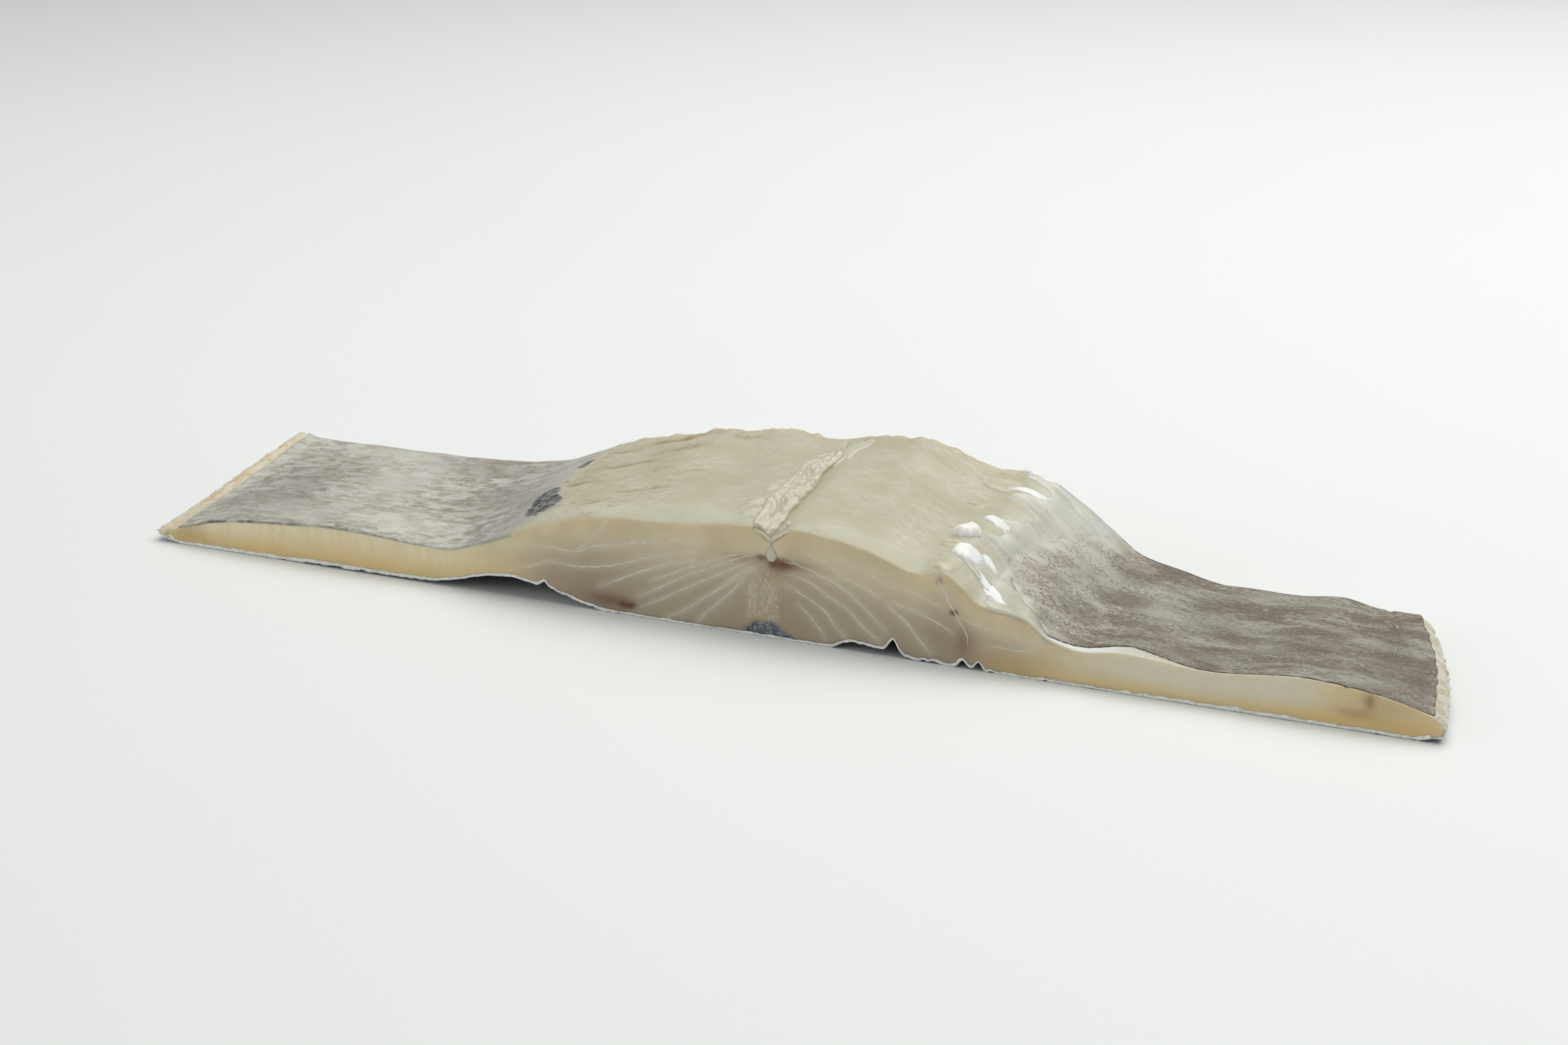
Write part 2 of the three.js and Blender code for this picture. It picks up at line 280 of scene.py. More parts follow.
def top_surface(station, share):
    """The upper surface with its fine relief."""
    back = share * depth_at(station)
    on_loin = ramp(station, -100, -84) * ramp(station, 74, 58)
    beside_ridge = ramp(np.abs(station + 2), 5, 12)
    across = grain(station, back)
    fibres = 0.09 * noise(station / 9, across / 2, 1) + 0.07 * noise(station / 3.5, across / 1.6, 2)
    lumps = 0.35 * noise(station / 17, across / 8, 3)
    torn = 1 + 2.2 * ramp(-station, 25, 60)
    off_edge = ramp(back, 3, 15)
    torn_back = 0.7 * rough_noise(station / 4, 0.3, 4) * ramp(share, 0.95, 1)
    relief = on_loin * beside_ridge * off_edge * (torn * fibres + lumps + torn_back)
    rounding = CUT_EDGE_RADIUS * (1 - np.sqrt(1 - np.clip(1 - back / CUT_EDGE_RADIUS, 0, 1) ** 2))
    bare = 1 - lining_cover(station, np.zeros_like(share))
    return solid_top(station, share) + relief - pit_depth(station, back) - rounding * bare


def wrinkles(station, share):
    """How far the skin lifts in small puckers along the front cut."""
    back = share * depth_at(station)
    fine = np.maximum(0, noise(station / 2.6, back / 12, 11)) ** 1.5
    broad = np.maximum(0, noise(station / 9, back / 30, 12))
    puckered = 0.25 + hump(station, 66, 40) + 0.7 * hump(station, -85, 22)
    return puckered * (0.7 * fine + 0.6 * broad) * hump(back, 0, 14)


def droop(station, share):
    """How far the raised skin hangs below the solid along the front of the flaps."""
    back = share * depth_at(station)
    left = LEFT_DROOP * hump(station, -160, 42)
    right = RIGHT_DROOP * ramp(station, 196, 215)
    return (left + right) * hump(back, 0, DROOP_REACH)


def underside(station, share):
    solid = solid_underside(station, share)
    lowest = np.minimum(solid, DROOP_CLEARANCE)
    return np.maximum(solid - droop(station, share), lowest) + wrinkles(station, share)


def skin_top(station, share):
    back = share * depth_at(station)
    thickness = lerp(SKIN_EDGE_THICKNESS, SKIN_THICKNESS, ramp(back, 0, 4))
    return underside(station, share) + thickness


# ---- meshes
def add_mesh(name, points, faces):
    mesh = bpy.data.meshes.new(name)
    mesh.from_pydata(points.tolist(), [], faces)
    mesh.validate()
    mesh.update()
    mesh.shade_smooth()
    piece = bpy.data.objects.new(name, mesh)
    bpy.context.scene.collection.objects.link(piece)
    return piece


def set_values(piece, **layers):
    """Stores a number, or a vector, for each vertex under each name."""
    for name, values in layers.items():
        values = np.asarray(values, np.float32)
        kind, key = ("FLOAT_VECTOR", "vector") if values.ndim == 2 else ("FLOAT", "value")
        layer = piece.data.attributes.new(name, kind, "POINT")
        layer.data.foreach_set(key, values.ravel())


def border_of(columns, rows):
    """The border of a grid of points, as index pairs in order."""
    front = [(i, 0) for i in range(columns)]
    right = [(columns - 1, j) for j in range(1, rows)]
    back = [(i, rows - 1) for i in range(columns - 2, -1, -1)]
    left = [(0, j) for j in range(rows - 2, 0, -1)]
    return front + right + back + left


def coarse_faces(columns, rows, step):
    """Faces over each step x step cells that keep every point on the grid's border."""
    faces = []
    for i in range(0, columns - 1, step):
        for j in range(0, rows - 1, step):
            i2, j2 = i + step, j + step
            fine_front, fine_back = (1 if j == 0 else step), (1 if j2 == rows - 1 else step)
            fine_left, fine_right = (1 if i == 0 else step), (1 if i2 == columns - 1 else step)
            face = [(k, j) for k in range(i, i2, fine_front)]
            face += [(i2, k) for k in range(j, j2, fine_right)]
            face += [(k, j2) for k in range(i2, i, -fine_back)]
            face += [(i, k) for k in range(j2, j, -fine_left)]
            faces.append(face)
    return faces


def grid_body(name, station, share, layers, place, hidden, step=4):
    """A closed body over a grid of places. place(station, share, level) gives its points, with level
    0 at the bottom and 1 at the top. The hidden face, "top" or "bottom", keeps only every step-th
    line inside its border. Returns the piece and each vertex's station, share and level."""
    columns, rows = station.shape
    border = border_of(columns, rows)
    numbers, parameters = {}, []

    def number(i, j, layer):
        key = (i, j, layer)
        if key not in numbers:
            numbers[key] = len(parameters)
            parameters.append((station[i, j], share[i, j], layer / layers))
        return numbers[key]

    fine_layer, coarse_layer = (layers, 0) if hidden == "bottom" else (0, layers)
    fine = [[(i, j), (i + 1, j), (i + 1, j + 1), (i, j + 1)]
            for i in range(columns - 1) for j in range(rows - 1)]
    faces = []
    for cells, layer in ((fine, fine_layer), (coarse_faces(columns, rows, step), coarse_layer)):
        for cell in cells:
            face = [number(i, j, layer) for i, j in cell]
            faces.append(face if layer == layers else face[::-1])
    for (i, j), (i2, j2) in zip(border, border[1:] + border[:1]):
        for layer in range(layers):
            faces.append([number(i, j, layer), number(i2, j2, layer),
                          number(i2, j2, layer + 1), number(i, j, layer + 1)])
    stations, shares, levels = np.array(parameters).T
    piece = add_mesh(name, to_frame(*place(stations, shares, levels)), faces)
    return piece, stations, shares, levels


def sweep(path, half_widths, half_heights, up, sides=6):
    """A tapering closed strand along a path. Its widths, in mm, lie across up, its heights along it."""
    path = np.asarray(path, float)
    tangent = np.gradient(path, axis=0)
    tangent /= np.linalg.norm(tangent, axis=1)[:, None]
    across = np.cross(tangent, up)
    across /= np.linalg.norm(across, axis=1)[:, None]
    normal = np.cross(across, tangent)
    angles = np.arange(sides) * 2 * np.pi / sides
    rings = (path[:, None] + across[:, None] * np.outer(half_widths, np.cos(angles))[..., None] * MM
             + normal[:, None] * np.outer(half_heights, np.sin(angles))[..., None] * MM)
    faces = [[k * sides + a, k * sides + (a + 1) % sides,
              (k + 1) * sides + (a + 1) % sides, (k + 1) * sides + a]
             for k in range(len(path) - 1) for a in range(sides)]
    faces.append(list(range(sides))[::-1])
    faces.append([(len(path) - 1) * sides + a for a in range(sides)])
    return rings.reshape(-1, 3), faces


def join(name, bodies):
    """One piece from several closed bodies, each given as points and faces."""
    points, faces, start = [], [], 0
    for body_points, body_faces in bodies:
        points.append(body_points)
        faces += [[start + k for k in face] for face in body_faces]
        start += len(body_points)
    piece = add_mesh(name, np.concatenate(points), faces)
    outward = bmesh.new()
    outward.from_mesh(piece.data)
    bmesh.ops.recalc_face_normals(outward, faces=outward.faces)
    outward.to_mesh(piece.data)
    outward.free()
    return piece


def even_curve(points, spacing):
    """Points at an even spacing on a smooth curve through the given ones."""
    points = np.asarray(points, float)
    padded = np.concatenate([[2 * points[0] - points[1]], points, [2 * points[-1] - points[-2]]])
    k = np.linspace(0, 1, 12, endpoint=False)[:, None]
    pieces = []
    for a, b, c, d in zip(padded, padded[1:], padded[2:], padded[3:]):
        pieces.append(b + 0.5 * k * (c - a + k * (2 * a - 5 * b + 4 * c - d + k * (3 * (b - c) + d - a))))
    dense = np.concatenate(pieces + [points[-1:]])
    length = np.concatenate([[0], np.cumsum(np.linalg.norm(np.diff(dense, axis=0), axis=1))])
    at = np.linspace(0, length[-1], max(4, int(length[-1] / spacing) + 1))
    return np.stack([np.interp(at, length, dense[:, axis]) for axis in range(dense.shape[1])], -1)


# ---- materials
def colour(red, green, blue):
    """A display colour of 0 to 255 as the linear colour that shaders use."""
    linear = [((c / 255 + 0.055) / 1.055) ** 2.4 if c > 10 else c / 255 / 12.92 for c in (red, green, blue)]
    return (*linear, 1)


SCATTER_REACH = 3 * MM
SCATTER_BY_COLOUR = (1, 0.8, 0.55)


class Finish:
    """A material in the making. Most methods add nodes and give the last one's output."""

    def __init__(self, name, roughness, subsurface=0, coat=0):
        self.material = bpy.data.materials.new(name)
        self.material.use_nodes = True
        self.tree = self.material.node_tree
        self.shader = self.tree.nodes["Principled BSDF"]
        settings = {
            "Roughness": roughness, "Subsurface Weight": subsurface, "Subsurface Scale": SCATTER_REACH,
            "Subsurface Radius": SCATTER_BY_COLOUR, "Coat Weight": coat, "Coat Roughness": 0.2,
        }
        for socket, value in settings.items():
            self.shader.inputs[socket].default_value = value

    def node(self, kind, links=(), **settings):
        node = self.tree.nodes.new(kind)
        for key, value in settings.items():
            setattr(node, key, value)
        for socket, value in dict(links).items():
            if isinstance(value, bpy.types.NodeSocket):
                self.tree.links.new(value, node.inputs[socket])
            else:
                node.inputs[socket].default_value = value
        return node

    def value(self, name):
        return self.node("ShaderNodeAttribute", attribute_name=name).outputs["Fac"]

    def place(self, stretch=(1, 1, 1), source=None):
        """The place on the object, or a vector kept under the name source, scaled along each axis."""
        if source:
            vector = self.node("ShaderNodeAttribute", attribute_name=source).outputs["Vector"]
        else:
            vector = self.node("ShaderNodeTexCoord").outputs["Object"]
        return self.node("ShaderNodeMapping", {"Vector": vector, "Scale": stretch}).outputs[0]

    def noise(self, size, stretch=(1, 1, 1), detail=3, roughness=0.55, distortion=0, source=None):
        """Noise with bumps about size millimetres wide, longer along axes with a stretch below 1."""
        links = {"Vector": self.place(stretch, source), "Scale": 1 / (size * MM), "Detail": detail,
                 "Roughness": roughness, "Distortion": distortion}
        return self.node("ShaderNodeTexNoise", links).outputs["Fac"]

    def between(self, value, low, high):
        """0 below low and 1 above high, smoothly."""
        links = {"Value": value, "From Min": low, "From Max": high}
        return self.node("ShaderNodeMapRange", links, interpolation_type="SMOOTHSTEP").outputs[0]

    def times(self, a, b):
        return self.node("ShaderNodeMath", {0: a, 1: b}, operation="MULTIPLY", use_clamp=True).outputs[0]

    def mix(self, factor, a, b):
        """A mix of two colours, each an output or its red, green and blue as shown, 0 to 255."""
        a, b = (colour(*c) if isinstance(c, tuple) else c for c in (a, b))
        return self.node("ShaderNodeMix", {0: factor, 6: a, 7: b}, data_type="RGBA").outputs[2]

    def paint(self, base, mask, shade, strength=1):
        """Base with a shade over it where the mask, an output or the name of a value, is 1."""
        factor = self.value(mask) if isinstance(mask, str) else mask
        if strength < 1:
            factor = self.times(factor, strength)
        return self.mix(factor, base, shade)

    def coats(self, base, *coats):
        """Base painted over in order. Each coat: mask, shade and, below 1, strength."""
        for coat in coats:
            base = self.paint(base, *coat)
        return base

    def bump(self, height, distance, after=None):
        links = {"Height": height, "Distance": distance * MM, "Strength": 1}
        if after:
            links["Normal"] = after
        return self.node("ShaderNodeBump", links).outputs[0]

    def finish(self, base, normal=None):
        self.tree.links.new(base, self.shader.inputs["Base Color"])
        if normal:
            self.tree.links.new(normal, self.shader.inputs["Normal"])
        return self.material


def dress(piece, material, slot, *nodes):
    piece.data.materials.append(material)
    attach(piece, "root")
    if nodes:
        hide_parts(*nodes)


# ---- flesh
FLESH_LAYERS = 32
LOIN_LEFT = -105
LOIN_RIGHT = 111
CANAL_RECESS = 1.4
PATCH_RECESS = 0.7
PATCH_CENTRE = -1.5
PATCH_HALF_WIDTH = 10.5
PATCH_HEIGHT = 5.6

flesh_stations = np.concatenate([
    np.linspace(LEFT_STATION, LOIN_LEFT, 96, endpoint=False),
    np.linspace(LOIN_LEFT, LOIN_RIGHT, 272, endpoint=False),
    np.linspace(LOIN_RIGHT, RIGHT_STATION, 73),
])
flesh_shares = np.concatenate([[0, 0.25, 0.55, 0.9, 1.35, 1.9, 2.6, 3.4], np.linspace(4.3, 95, 101)]) / 95


def canal(station, height):
    """The pear-shaped canal under the midline."""
    half_width = lerp(2.0, 0.7, ramp(height, 27, 32))
    return spot(station, height, 0.2, 28.8, half_width, 2.6)


def column(station, height):
    """The bubbly column of connective tissue from the canal down to the skin."""
    half_width = lerp(6.2, 2.2, ramp(height, 14, 24))
    centre = lerp(-3, -3.2, ramp(height, 4, 24))
    across = ramp(np.abs(station - centre), half_width + 0.6, half_width - 1.2)
    return across * ramp(height, 25.5, 22.5) * ramp(height, 5, 7.5)


def skin_patch(station, height):
    """Where the dark inside of the skin shows at the bottom of the midline."""
    arch = np.clip(1 - ((station - PATCH_CENTRE) / PATCH_HALF_WIDTH) ** 2, 0, 1)
    top = PATCH_HEIGHT * arch + 0.9 * rough_noise(station / 2.6, 0.5, 21)
    return ramp(height, top + 0.3, top - 0.8) * hump(station, PATCH_CENTRE, 14)


SEPTUM_HALF_WIDTH = 0.22
SEPTUM_PROUD = 0.04
SEPTA = [  # station and height of points along each line between two flakes
    [(4.4, 23.4), (12.3, 22), (19.5, 18.2), (27, 14.4), (33.2, 9.2), (38.4, 4.9)],
    [(5.6, 19.4), (11.6, 16.8), (19.6, 12.2), (23, 8.1), (26.8, 4.5)],
    [(10.2, 13.4), (13.6, 10.2), (18.4, 4.9), (19.4, 2.9)],
    [(23.6, 25.6), (30.2, 23.4), (39.2, 19.9)],
    [(25.2, 30.8), (35.4, 27.3), (42.9, 24.7), (51.6, 22.8), (62.7, 19)],
    [(43.5, 18.9), (54, 16.1), (60.3, 13.7), (65.2, 10.8)],
    [(41.6, 17.9), (48.5, 12.6), (53.2, 7.2), (57, 3.4)],
    [(32.2, 9.9), (35.1, 7.6), (38.4, 5.4)],
    [(55.6, 34), (58.1, 32.3), (59.8, 28), (63.3, 21.6), (66.2, 16.8), (69.5, 11.4), (70.1, 6.6)],
    [(67.3, 16.8), (76.1, 14.5), (87.8, 12.9), (94.3, 13)],
    [(77.3, 8.8), (83.7, 8.7), (91.1, 9.4)],
    [(-64.3, 22.5), (-51.3, 26.2), (-40.6, 28.3), (-25, 30)],
    [(-84.3, 15), (-71.7, 14.8), (-57.2, 17.6), (-42.3, 22.7), (-28, 26)],
    [(-64.6, 8.7), (-53.4, 14.1), (-40.8, 19.4), (-28, 23)],
    [(-49.9, 7), (-33.3, 16.2), (-14, 25), (-6.4, 27.9), (-2.6, 28.4)],
    [(-50.8, 2.8), (-39.2, 8.5), (-23.5, 17.1), (-6.4, 26), (-2.8, 27.6)],
    [(-39.5, 0.9), (-30.9, 5.9), (-19.8, 13.7), (-4.9, 24.4)],
    [(-27.7, 0.9), (-23.6, 5.6), (-16, 12.6), (-10, 19)],
    [(-45, 13.5), (-30, 20.2), (-16, 26), (-6, 28.6)],
    [(-34, 3.4), (-24, 11), (-12, 20.4), (-5.4, 25.4)],
    [(2.6, 27.6), (12, 26.2), (24, 21.8), (33, 16), (41, 9)],
    [(-99.8, 19.2), (-84.7, 20.2), (-73.7, 19.8), (-68.4, 22.2), (-56.5, 25), (-38.6, 28.1)],
    [(-102.9, 8.6), (-94.5, 11.4), (-84.3, 15)],
    [(-73.7, 19.8), (-66.8, 26.2), (-61.5, 31.8)],
    [(12.3, 31), (18, 29.4), (25, 26.5)],
]


def septum_halo(station, height):
    """1 on the lines between flakes, fading over a few millimetres."""
    nearest = np.full(station.shape, 99.0)
    for points in SEPTA:
        for along, up in even_curve(points, 0.8):
            nearest = np.minimum(nearest, (station - along) ** 2 + (height - up) ** 2)
    distance = np.sqrt(nearest)
    return 0.6 * np.exp(-distance / 0.7) + 0.4 * np.exp(-distance / 2.2)


def cut_relief(station, height):
    """How far the front cut lies behind its plane."""
    flakes = 0.28 * noise(station / 9, height / 4, 22) + 0.1 * noise(station / 2.2, height / 2.2, 23)
    bubbles = 0.22 * noise(station / 1.5, height / 1.8, 24) * column(station, height)
    relief = flakes + bubbles + CANAL_RECESS * canal(station, height)
    return np.maximum(relief + PATCH_RECESS * skin_patch(station, height), -0.4)


def back_relief(station, height):
    """How far the back cut lies in front of its plane."""
    return 0.5 + 0.5 * noise(station / 4, height / 4, 25)


def flesh_place(station, share, level):
    x, y = plan_point(station, share)
    bottom = skin_top(station, share) - SKIN_SUNK
    top = top_surface(station, share) - LINING_BED * lining_cover(station, share)
    z = lerp(bottom, top, level)
    inside = np.minimum(ramp(level, 0, 0.06), ramp(level, 1, 0.97))
    y = y + np.where(share == 0, cut_relief(station, z) * inside, 0)
    y = y - np.where(share == 1, back_relief(station, z) * inside, 0)
    ragged = 1 + 0.2 * noise(y / 2.6, z / 2.6, 26) + 0.16 * noise(y / 1.1, z / 1.1, 27)
    ragged = ragged * lerp(1, 0.9, ramp(np.abs(ragged), 1, 1.3))
    return x + rim_reach(station, level) * ragged, y, z


CUT_FADE = 0.7
LEFT_CRUST = (241.6, 243)  # distances from the midline between which the salty crust begins
RIGHT_CRUST = (217, 218.2)
STAINS = [  # strength, station, height, half length, half height: brown spots on the front cut
    (1, 3.6, 27.3, 2.2, 0.8), (0.6, 0.7, 25.6, 1.6, 1), (0.55, 4.5, 25.6, 4, 1.7),
    (0.8, -3.4, 27.6, 2.4, 1), (0.45, 9, 26.3, 8, 1.7), (0.45, -9, 26.2, 8, 1.9),
    (0.42, 2, 23.5, 5, 3), (1.2, 65, 18.4, 1.4, 1), (0.6, 59.8, 28.5, 1, 1.4),
    (1.1, -53.8, 3.4, 3.2, 1.2), (0.6, -61, 4.5, 9, 2.6), (0.2, -68, 10, 14, 11),
    (0.16, 10, 18, 9, 13), (0.5, 69, 9, 3.5, 6), (0.5, 199.4, 10, 1.6, 2.6), (0.2, 62, 13, 7, 9),
    (0.25, 82, 5, 14, 6), (0.3, 195, 5.5, 6, 1.6), (0.24, 204, 9, 12, 6), (0.26, -237, 5, 8, 5),
]

flesh_station, flesh_share = np.meshgrid(flesh_stations, flesh_shares, indexing="ij")
cod_flesh, at, share, level = grid_body(
    "cod_flesh", flesh_station, flesh_share, FLESH_LAYERS, flesh_place, hidden="bottom")
back = share * depth_at(at)
height = np.array([vertex.co.z for vertex in cod_flesh.data.vertices]) / MM
top_here = solid_top(at, share)
front_cut = np.where((share == 0) & (level < 1), 1, np.exp(-back / CUT_FADE))
back_cut = np.where((share == 1) & (level < 1), 1, np.exp(-(depth_at(at) - back) / CUT_FADE))
cut = np.maximum(front_cut, back_cut)
below_top = (top_here - height) / np.maximum(top_here, 1)

loin_front = ramp(at, -122, -84) * ramp(at, 100, 58)
grey = loin_front * ramp(below_top, 0.1, 0.66) * cut
amber_left = ramp(at, -80, -110) * ramp(below_top, 0.1, 0.9)
amber_right = ramp(at, 62, 90) * ramp(below_top, 0.35, 1) * 0.75
amber_end = ramp(at, 160, 200) + ramp(-at, 225, 240)
amber = np.clip(amber_left + amber_right + 0.6 * amber_end, 0, 1) * cut
# Painted shade: the torn hollows of the left loin are darkened in step with their depth.
pits = np.clip(pit_depth(at, back), 0, 1) * (1 - cut)
# Painted sheen: a paler band along the front edge of the loins' top stands in for a wet shine.
wet = hump(back, 5, 7) * loin_front * (1 - cut) * np.where(at > 0, 0.5, 1)
torn = ramp(-at, 38, 62) * ramp(-at, 98, 84) * (1 - cut)
# Paler cream on the flaps' cut: partly their own flesh colour, partly a painted glow of light through the
# thin flaps.
flap_left = ramp(-at, 92, 132)
flap_right = 0.65 * ramp(at, 85, 135)
milky = ramp(at, 98, 125) * ramp(at, 194, 178) * ramp(below_top, 0.85, 0.4) * cut
ragged = 0.9 * rough_noise(back / 4, height / 4, 33)
rim = np.maximum(ramp(-at + ragged, *LEFT_CRUST), ramp(at + ragged, *RIGHT_CRUST))
shoulder_start = lerp(66, 58, ramp(back, 8, 50))
shoulder = ramp(at, shoulder_start, shoulder_start + 12) * ramp(at, 104, 92) * (1 - cut)
slanting = back + 0.3 * at
streaks = noise(at / 12, slanting / 3.5, 31) + 0.6 * noise(at / 6, slanting / 1.8, 32)
white = shoulder * lerp(0.35, 1, ramp(streaks, -0.5, 0.6))
white = white * ramp(back + 3 * (at - 70), 0, 12)
strip = ramp(at, 92, 98) * ramp(at, 142, 128) * (1 - cut)
strip = strip * (1 - 0.6 * ramp(at, 114, 124))
patch = skin_patch(at, height) * (share == 0)
halo = septum_halo(at, height) * front_cut
set_values(
    cod_flesh, cut=cut, halo=halo, flap=(flap_left + flap_right) * cut, milky=milky, torn=torn,
    brown=np.clip(spots(at, height, STAINS) * front_cut, 0, 1), grey=grey, amber=amber, rim=rim,
    tan=at < 0, pits=pits, wet=wet, white=white, strip=strip, patch=np.clip(patch * 1.6, 0, 1),
    canal=canal(at, height) * (share == 0), bubbles=column(at, height) * (share == 0),
    grain=np.stack([at * 0.2, grain(at, back), height], -1) * MM,
)


def flesh_material():
    f = Finish("salted_cod_flesh", 0.36, subsurface=0.35, coat=0.3)
    streaks = f.noise(0.9, source="grain", detail=4)
    broad = f.noise(14, detail=2)
    top = f.mix(f.between(streaks, 0.3, 0.7), (189, 182, 153), (204, 199, 175))
    top = f.paint(top, f.between(broad, 0.4, 0.65), (190, 184, 152))
    # The darker olive in the torn hollows is painted shade.
    # The paler band along the top's front edge is painted wet sheen.
    top = f.coats(top, ("wet", (208, 206, 184), 0.6), ("pits", (158, 138, 92), 0.95))
    salt = f.between(f.noise(1.3, detail=5, roughness=0.7), 0.64, 0.7)
    top = f.paint(top, salt, (226, 223, 206), 0.6)
    tears = f.between(f.noise(5, (0.7, 1, 1), detail=5, roughness=0.65), 0.53, 0.62)
    top = f.paint(top, f.times(tears, f.value("torn")), (172, 156, 114), 0.5)
    front = f.mix(f.between(broad, 0.35, 0.65), (224, 207, 169), (213, 196, 158))
    front = f.coats(front, ("grey", (176, 161, 135)), ("halo", (226, 221, 202), 0.6))
    upright = f.between(f.noise(3, (1, 1, 0.2)), 0.35, 0.65)
    # The flaps' cut is paler: partly flesh colour, partly painted glow of light through the thin flesh.
    front = f.paint(front, "flap", f.mix(upright, (236, 221, 180), (241, 229, 195)))
    base = f.coats(
        top, ("cut", front), ("amber", (232, 202, 140)), ("milky", (224, 219, 197), 0.75))
    crust = f.between(f.noise(1.1, detail=4), 0.35, 0.65)
    flecks = f.between(f.noise(5), 0.42, 0.55)
    rim = f.mix(f.value("tan"), f.mix(crust, (184, 172, 140), (216, 208, 184)),
                f.mix(crust, (204, 178, 130), (224, 210, 176)))
    rim = f.paint(rim, flecks, (232, 228, 212), 0.6)
    base = f.coats(base, ("rim", rim), ("white", (212, 211, 198)), ("strip", (236, 237, 232)))
    bubbly = f.mix(f.between(f.noise(1.2), 0.4, 0.6), (188, 172, 142), (204, 192, 164))
    base = f.coats(
        base, ("bubbles", bubbly), ("canal", (214, 190, 160)), ("brown", (110, 66, 36)))
    mottle = f.between(f.noise(0.9, detail=4), 0.42, 0.62)
    base = f.paint(base, "patch", f.mix(mottle, (84, 94, 104), (150, 156, 158)))
    grains = f.bump(f.noise(1.6, detail=6, roughness=0.7), 0.4)
    return f.finish(base, f.bump(f.noise(0.8, source="grain", detail=4), 0.16, grains))


dress(cod_flesh, flesh_material(), "flesh", "flesh")


# ---- skin
def skin_place(station, share, level):
    x, y = plan_point(station, share)
    z = lerp(underside(station, share), skin_top(station, share), level)
    frill = np.where(share == 0, 0.25 * noise(station / 2, 0.5, 41), 0)
    return x + rim_reach(station, 0), y - frill, z


cod_skin, _, share, _ = grid_body(
    "cod_skin", flesh_station, flesh_share, 2, skin_place, hidden="top")
set_values(cod_skin, edge=(share == 0) | (share == 1))


def skin_material():
    f = Finish("cod_skin", 0.5, subsurface=0.1)
    scales = f.between(f.noise(2.4, (0.6, 1, 1), detail=4), 0.35, 0.65)
    base = f.mix(scales, (104, 108, 110), (168, 170, 168))
    base = f.paint(base, f.between(f.noise(22, detail=2), 0.45, 0.62), (86, 88, 88))
    edge = f.mix(f.between(f.noise(1.4), 0.35, 0.6), (205, 207, 203), (238, 239, 236))
    return f.finish(f.paint(base, "edge", edge), f.bump(f.noise(0.9), 0.15))


dress(cod_skin, skin_material(), "skin", "skin")


FRILL_HALF_HEIGHT = 0.42
FRILL_PROUD = 0.32


def frill():
    """The pale, ruffled lip of the skin along the foot of the front cut."""
    station = np.arange(LEFT_STATION + 0.5, RIGHT_STATION - 0.5, 0.4)
    girth = 1 + 0.35 * rough_noise(station / 3, 0.5, 43)
    girth = girth * (1 + 0.7 * ramp(-station, 120, 150) + 0.5 * ramp(station, 110, 140))
    rise = underside(station, 0 * station) + 0.15 + 0.16 * rough_noise(station / 2.2, 0.5, 42)
    rise = np.maximum(rise, FRILL_HALF_HEIGHT * girth)
    path = to_frame(station, 0.05 + 0.12 * noise(station / 1.7, 0.5, 44), rise)
    return sweep(path, FRILL_HALF_HEIGHT * girth, FRILL_PROUD * girth, (0, -1, 0))


def frill_material():
    f = Finish("skin_lip", 0.45)
    base = f.mix(f.between(f.noise(1.6), 0.4, 0.62), (226, 230, 229), (252, 252, 249))
    return f.finish(base, f.bump(f.noise(0.6, detail=2), 0.05))


skin_lip = join("cod_skin_lip", [frill()])
dress(skin_lip, frill_material(), "skin", "skin")


# ---- belly linings
def lining_relief(station, back):
    streaks = 0.12 * noise(station / 16, back / 2.1, 51) + 0.16 * noise(station / 9, back / 5, 52)
    crease = 0.5 * hump(station + 1.2 * np.sin(back / 7), 206, 1.2) * ramp(back, 36, 46)
    return streaks - crease


def lining_place(station, share, level):
    x, back = plan_point(station, share)
    bed = top_surface(station, share) - LINING_BED * lining_cover(station, share)
    inner = np.where(station < 0, LEFT_LINING_INNER(share), RIGHT_LINING_INNER(share))
    thinning = LINING_EDGE_DROP * np.exp(-np.abs(station - inner) / LINING_TAPER)
    crown = top_surface(station, share) + LINING_LIFT + lining_relief(station, back) - thinning
    return x + rim_reach(station, 1), back, lerp(bed - LINING_SUNK, crown, level)


def lining(name, inner, outer, front_of, place=lining_place):
    """A thin sheet between two edges that depend on the share, from front_of back to the back cut."""
    share = np.broadcast_to(np.linspace(0, 1, 101), (201, 101))
    k = np.linspace(0, 1, 201)[:, None]
    station = lerp(*sorted((inner(share), outer(share)), key=np.mean), k)
    front = front_of(station[:, :1]) / depth_at(station[:, :1])
    share = lerp(front, 1, share)
    piece, at, share, _ = grid_body(name, station, share, 2, place, hidden="bottom")
    return piece, at, share * depth_at(at), share


def left_edge(share):
    edge = LINING_OUTER_LEFT - 0.9 + 0.6 * rough_noise(share * 24, 0.5, 54)
    return np.maximum(edge, LINING_LEFT_LIMIT)


def right_start(share):
    return RIGHT_LINING_INNER(share) + 1.4 + 1.3 * rough_noise(share * 18, 0.5, 58)


def right_edge(share):
    edge = LINING_OUTER_RIGHT + 0.9 + 0.6 * rough_noise(share * 24, 0.5, 56)
    return np.minimum(edge, LINING_RIGHT_LIMIT)


def no_tear(station):
    return np.zeros_like(station)


def ragged_tear(station):
    return np.maximum(RIGHT_LINING_TEAR(station) + 0.5 * rough_noise(station / 3.2, 0.5, 53, 4), 0.2)


